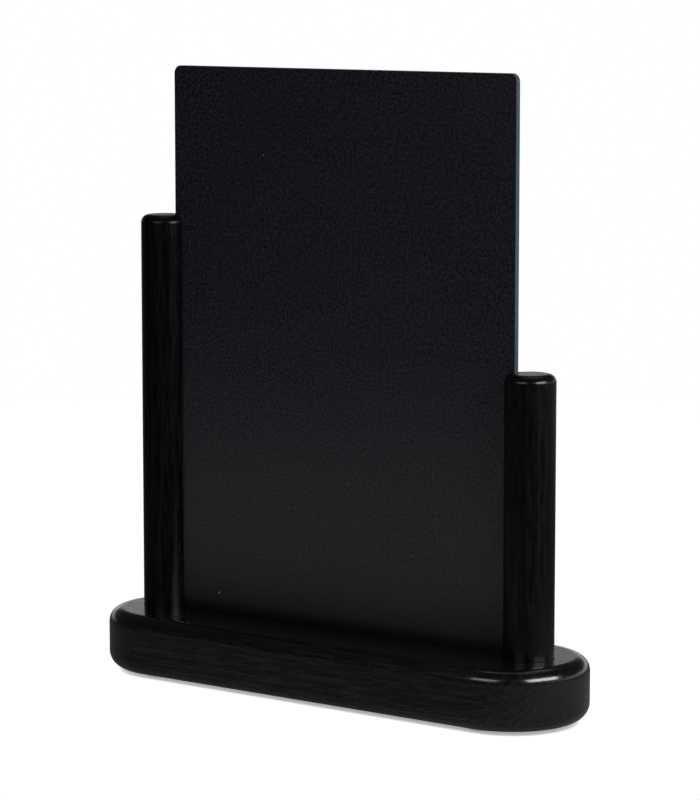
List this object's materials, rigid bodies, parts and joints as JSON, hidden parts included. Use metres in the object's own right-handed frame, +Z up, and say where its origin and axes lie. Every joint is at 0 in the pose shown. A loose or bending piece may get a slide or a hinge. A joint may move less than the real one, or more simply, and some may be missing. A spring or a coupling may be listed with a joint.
{
  "type": "table-top menu chalkboard stand",
  "caption": "Table-top menu chalkboard stand: a thin black board drops into slotted round posts, one taller than the other, on a stadium-shaped wooden base with a groove along it.",
  "frame": {"origin": "on the table, under the middle of the base: the centre of the bounding box's bottom face", "axes": "+Z up, +X along the base from the tall post to the short post, -Y towards the reader at the front"},
  "size_m": [0.282, 0.077, 0.313],
  "materials": {
    "black_stained_wood": "black stain under satin lacquer, open grain",
    "chalkboard_black": "matte writing face, polished edge",
    "screw_steel": "bright zinc",
    "pad_rubber": "matte"
  },
  "bodies": {
    "stand": {"base": "black_stained_wood", "tall_post": "black_stained_wood", "short_post": "black_stained_wood", "tall_post_screw": "screw_steel", "short_post_screw": "screw_steel", "foot_pad_front_left": "pad_rubber", "foot_pad_front_right": "pad_rubber", "foot_pad_back_left": "pad_rubber", "foot_pad_back_right": "pad_rubber"},
    "board": {"chalkboard": "chalkboard_black"}
  },
  "joints": [
    {"name": "board_lift", "type": "slide", "parent": "stand", "child": "board", "axis": [0, 0, 1], "range_m": [0, 0.225]}
  ]
}
